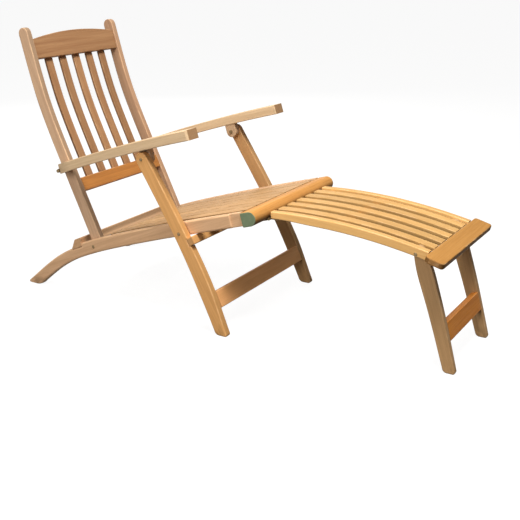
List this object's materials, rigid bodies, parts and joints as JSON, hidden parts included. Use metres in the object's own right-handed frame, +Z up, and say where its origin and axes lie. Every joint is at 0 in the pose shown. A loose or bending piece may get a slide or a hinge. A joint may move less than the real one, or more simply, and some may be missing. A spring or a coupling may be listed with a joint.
{
  "type": "steamer deck chair",
  "caption": "Folding slatted wooden steamer deck chair with raked legs, a reclining slatted back hooked to two notched arms, and a hinged footrest on its own legs.",
  "frame": {"origin": "on the floor, in the middle of the bounding box of the unfolded chair", "axes": "+X towards the foot end, +Y to the left of someone sitting in it, +Z up"},
  "size_m": [1.68, 0.616, 0.9744],
  "materials": {
    "seat_wood": "oiled hardwood, pale, fine straight grain",
    "frame_wood": "oiled hardwood, weathered slightly grey on the outer faces",
    "back_wood": "oiled hardwood, warm",
    "arm_wood": "oiled hardwood, pale",
    "footrest_wood": "oiled hardwood, golden",
    "brass": "dull weathered brass"
  },
  "bodies": {
    "seat_frame": {"hinge_leaf_seat_left": "brass", "hinge_leaf_seat_right": "brass", "seat_batten_1": "frame_wood", "seat_batten_2": "frame_wood", "seat_batten_3": "frame_wood", "seat_front_rail": "footrest_wood", "seat_rail_left": "frame_wood", "seat_rail_right": "frame_wood", "seat_rear_rail": "frame_wood", "seat_slat_1": "seat_wood", "seat_slat_2": "seat_wood", "seat_slat_3": "seat_wood", "seat_slat_4": "seat_wood", "seat_slat_5": "seat_wood", "seat_slat_6": "seat_wood", "seat_slat_7": "seat_wood"},
    "leg_frame": {"leg_bolt_left": "brass", "leg_bolt_right": "brass", "leg_crossbar": "frame_wood", "leg_left": "frame_wood", "leg_right": "frame_wood", "leg_stretcher": "frame_wood"},
    "back_frame": {"back_bolt_left": "brass", "back_bolt_right": "brass", "back_bottom_rail": "back_wood", "back_post_left": "back_wood", "back_post_right": "back_wood", "back_slat_1": "back_wood", "back_slat_2": "back_wood", "back_slat_3": "back_wood", "back_slat_4": "back_wood", "back_slat_5": "back_wood", "back_top_rail": "back_wood", "recline_pin_left": "brass", "recline_pin_right": "brass"},
    "arm_right": {"arm_block_right": "arm_wood", "arm_bolt_right": "brass", "arm_right": "arm_wood"},
    "arm_left": {"arm_block_left": "arm_wood", "arm_bolt_left": "brass", "arm_left": "arm_wood"},
    "footrest": {"footrest_cross_rail_1": "footrest_wood", "footrest_cross_rail_2": "footrest_wood", "footrest_end_board": "footrest_wood", "footrest_rail_left": "footrest_wood", "footrest_rail_right": "footrest_wood", "footrest_slat_1": "footrest_wood", "footrest_slat_2": "footrest_wood", "footrest_slat_3": "footrest_wood", "footrest_slat_4": "footrest_wood", "footrest_slat_5": "footrest_wood", "hinge_leaf_footrest_left": "brass", "hinge_leaf_footrest_right": "brass"},
    "footrest_legs": {"footrest_leg_bolt_left": "brass", "footrest_leg_bolt_right": "brass", "footrest_leg_left": "footrest_wood", "footrest_leg_right": "footrest_wood", "footrest_leg_stretcher": "footrest_wood"}
  },
  "joints": [
    {"name": "leg_fold", "type": "hinge", "parent": "seat_frame", "child": "leg_frame", "pos_m": [-0.08361, 0, 0.327], "axis": [0, 1, 0], "range_deg": [0, 92]},
    {"name": "back_fold", "type": "hinge", "parent": "seat_frame", "child": "back_frame", "pos_m": [-0.49161, 0, 0.201], "axis": [0, 1, 0], "range_deg": [0, 82.8]},
    {"name": "arm_fold_right", "type": "hinge", "parent": "leg_frame", "child": "arm_right", "pos_m": [-0.23561, 0, 0.563], "axis": [0, 1, 0], "range_deg": [-84.64, 0]},
    {"name": "arm_fold_left", "type": "hinge", "parent": "leg_frame", "child": "arm_left", "pos_m": [-0.23561, 0, 0.563], "axis": [0, 1, 0], "range_deg": [-84.64, 0]},
    {"name": "footrest_fold", "type": "hinge", "parent": "seat_frame", "child": "footrest", "pos_m": [0.19919, 0, 0.395], "axis": [0, 1, 0], "range_deg": [0, 130.64]},
    {"name": "footrest_leg_fold", "type": "hinge", "parent": "footrest", "child": "footrest_legs", "pos_m": [0.71006, 0, 0.36883], "axis": [0, 1, 0], "range_deg": [0, 99.36]}
  ],
  "couplings": [
    {"joint": "back_fold", "follows": "leg_fold", "ratio": 0.9},
    {"joint": "arm_fold_right", "follows": "leg_fold", "ratio": -0.92},
    {"joint": "arm_fold_left", "follows": "leg_fold", "ratio": -0.92},
    {"joint": "footrest_fold", "follows": "leg_fold", "ratio": 1.42},
    {"joint": "footrest_leg_fold", "follows": "leg_fold", "ratio": 1.08}
  ]
}
